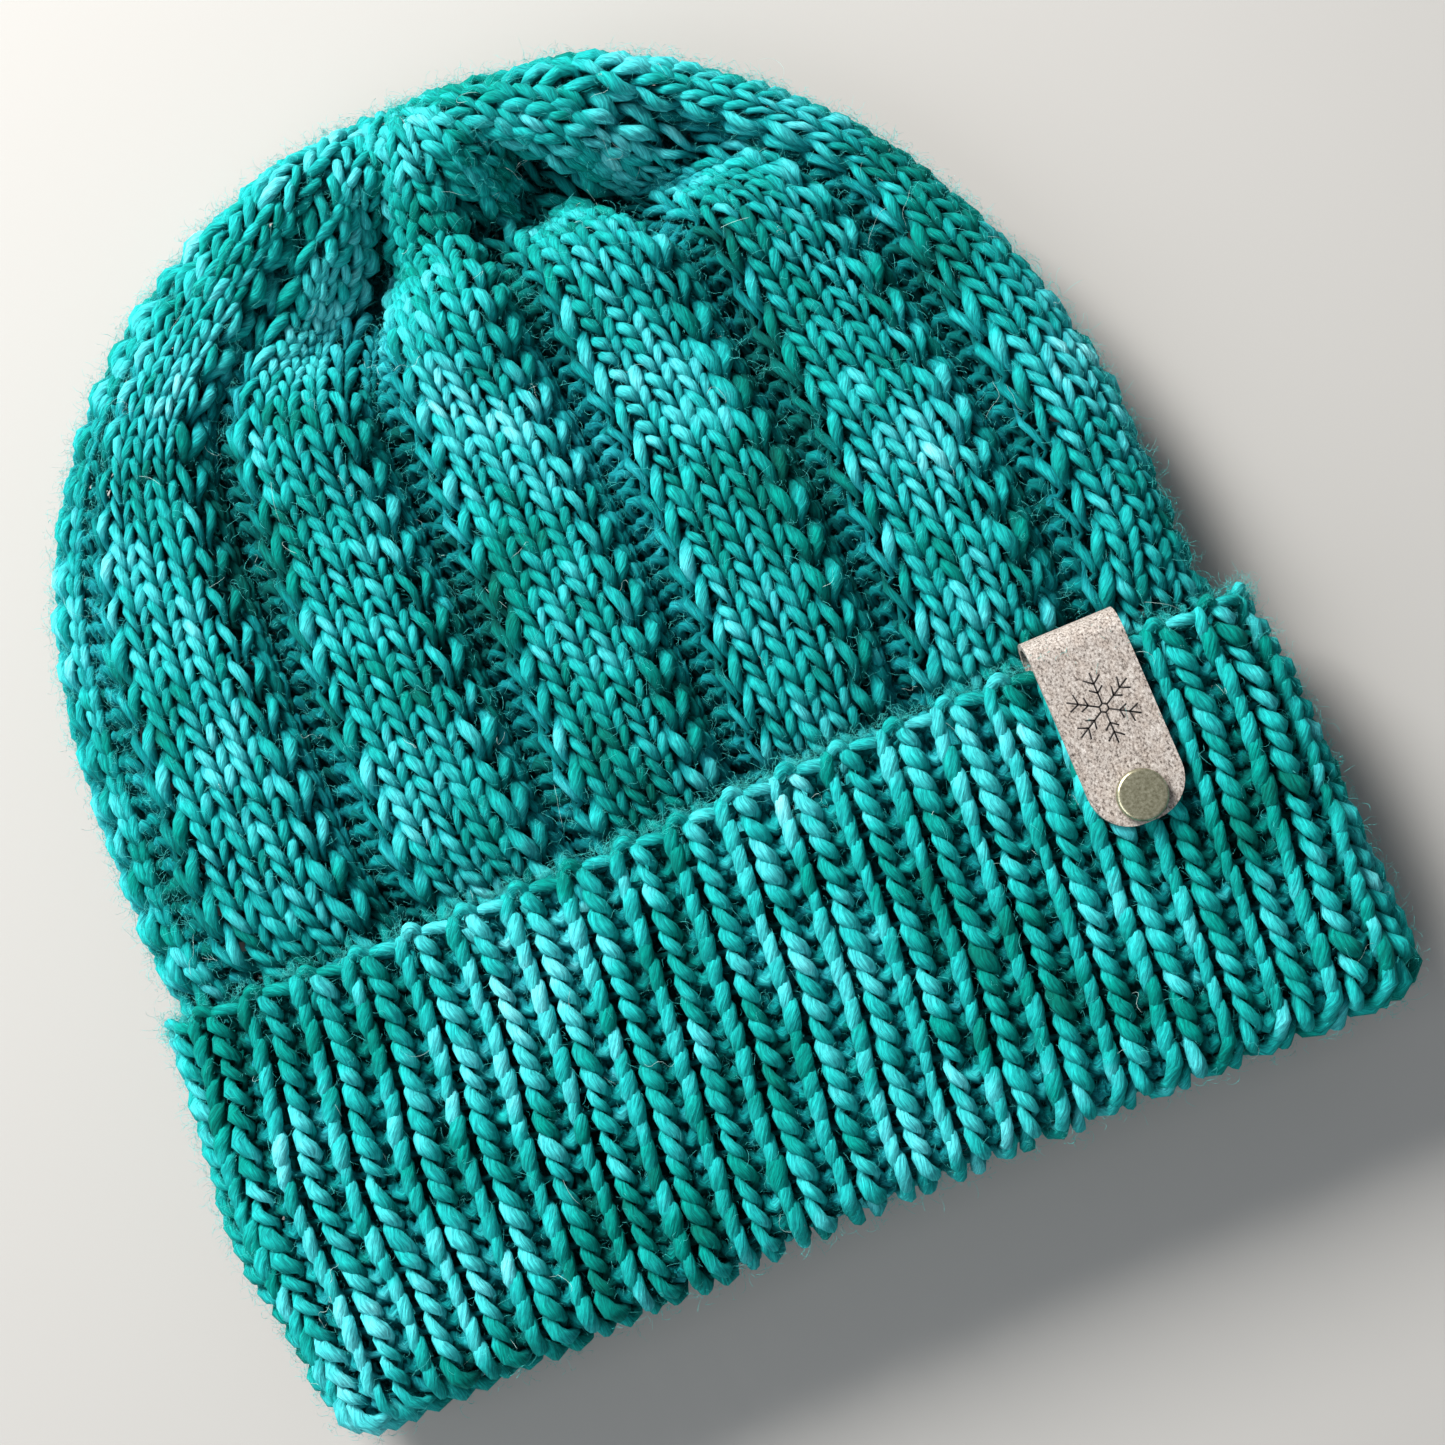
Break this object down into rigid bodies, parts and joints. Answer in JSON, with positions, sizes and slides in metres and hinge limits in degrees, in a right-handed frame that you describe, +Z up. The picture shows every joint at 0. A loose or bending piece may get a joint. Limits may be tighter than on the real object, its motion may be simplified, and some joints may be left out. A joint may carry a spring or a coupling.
{
  "type": "knit beanie",
  "caption": "Hand-knit wool beanie lying flat, with a ribbed turned-up cuff, slipped-stitch panels, a gathered crown and a fold-over cork tag held by a screw rivet.",
  "frame": {"origin": "bottom centre of the hat's bounding box as it lies on its back", "axes": "+X along the brim, +Y from the brim to the crown, +Z up from the table, out of the front of the hat"},
  "size_m": [0.228, 0.233, 0.0393],
  "materials": {
    "teal_wool": "hand-dyed plied wool, tonal teal, fuzzy",
    "cork": "cork fabric, fine speckle, matte",
    "antique_brass": "antique brass plating, satin"
  },
  "bodies": {
    "hat": {"turned_cuff": "teal_wool", "inner_brim": "teal_wool", "cast_on_edge": "teal_wool", "hat_body": "teal_wool", "crown": "teal_wool", "crown_drawstring": "teal_wool", "closing_tail": "teal_wool", "cast_on_tail": "teal_wool", "cork_tag": "cork"},
    "rivet_cap": {"screw_cap": "antique_brass"},
    "rivet_screw": {"slotted_screw": "antique_brass"}
  },
  "joints": [
    {"name": "cap_turn", "type": "hinge", "parent": "hat", "child": "rivet_cap", "pos_m": [0.0746, -0.064, 0.035], "axis": [0, 0, 1], "continuous": true},
    {"name": "screw_turn", "type": "hinge", "parent": "rivet_cap", "child": "rivet_screw", "pos_m": [0.0746, -0.064, 0.026], "axis": [0, 0, 1], "continuous": true}
  ]
}
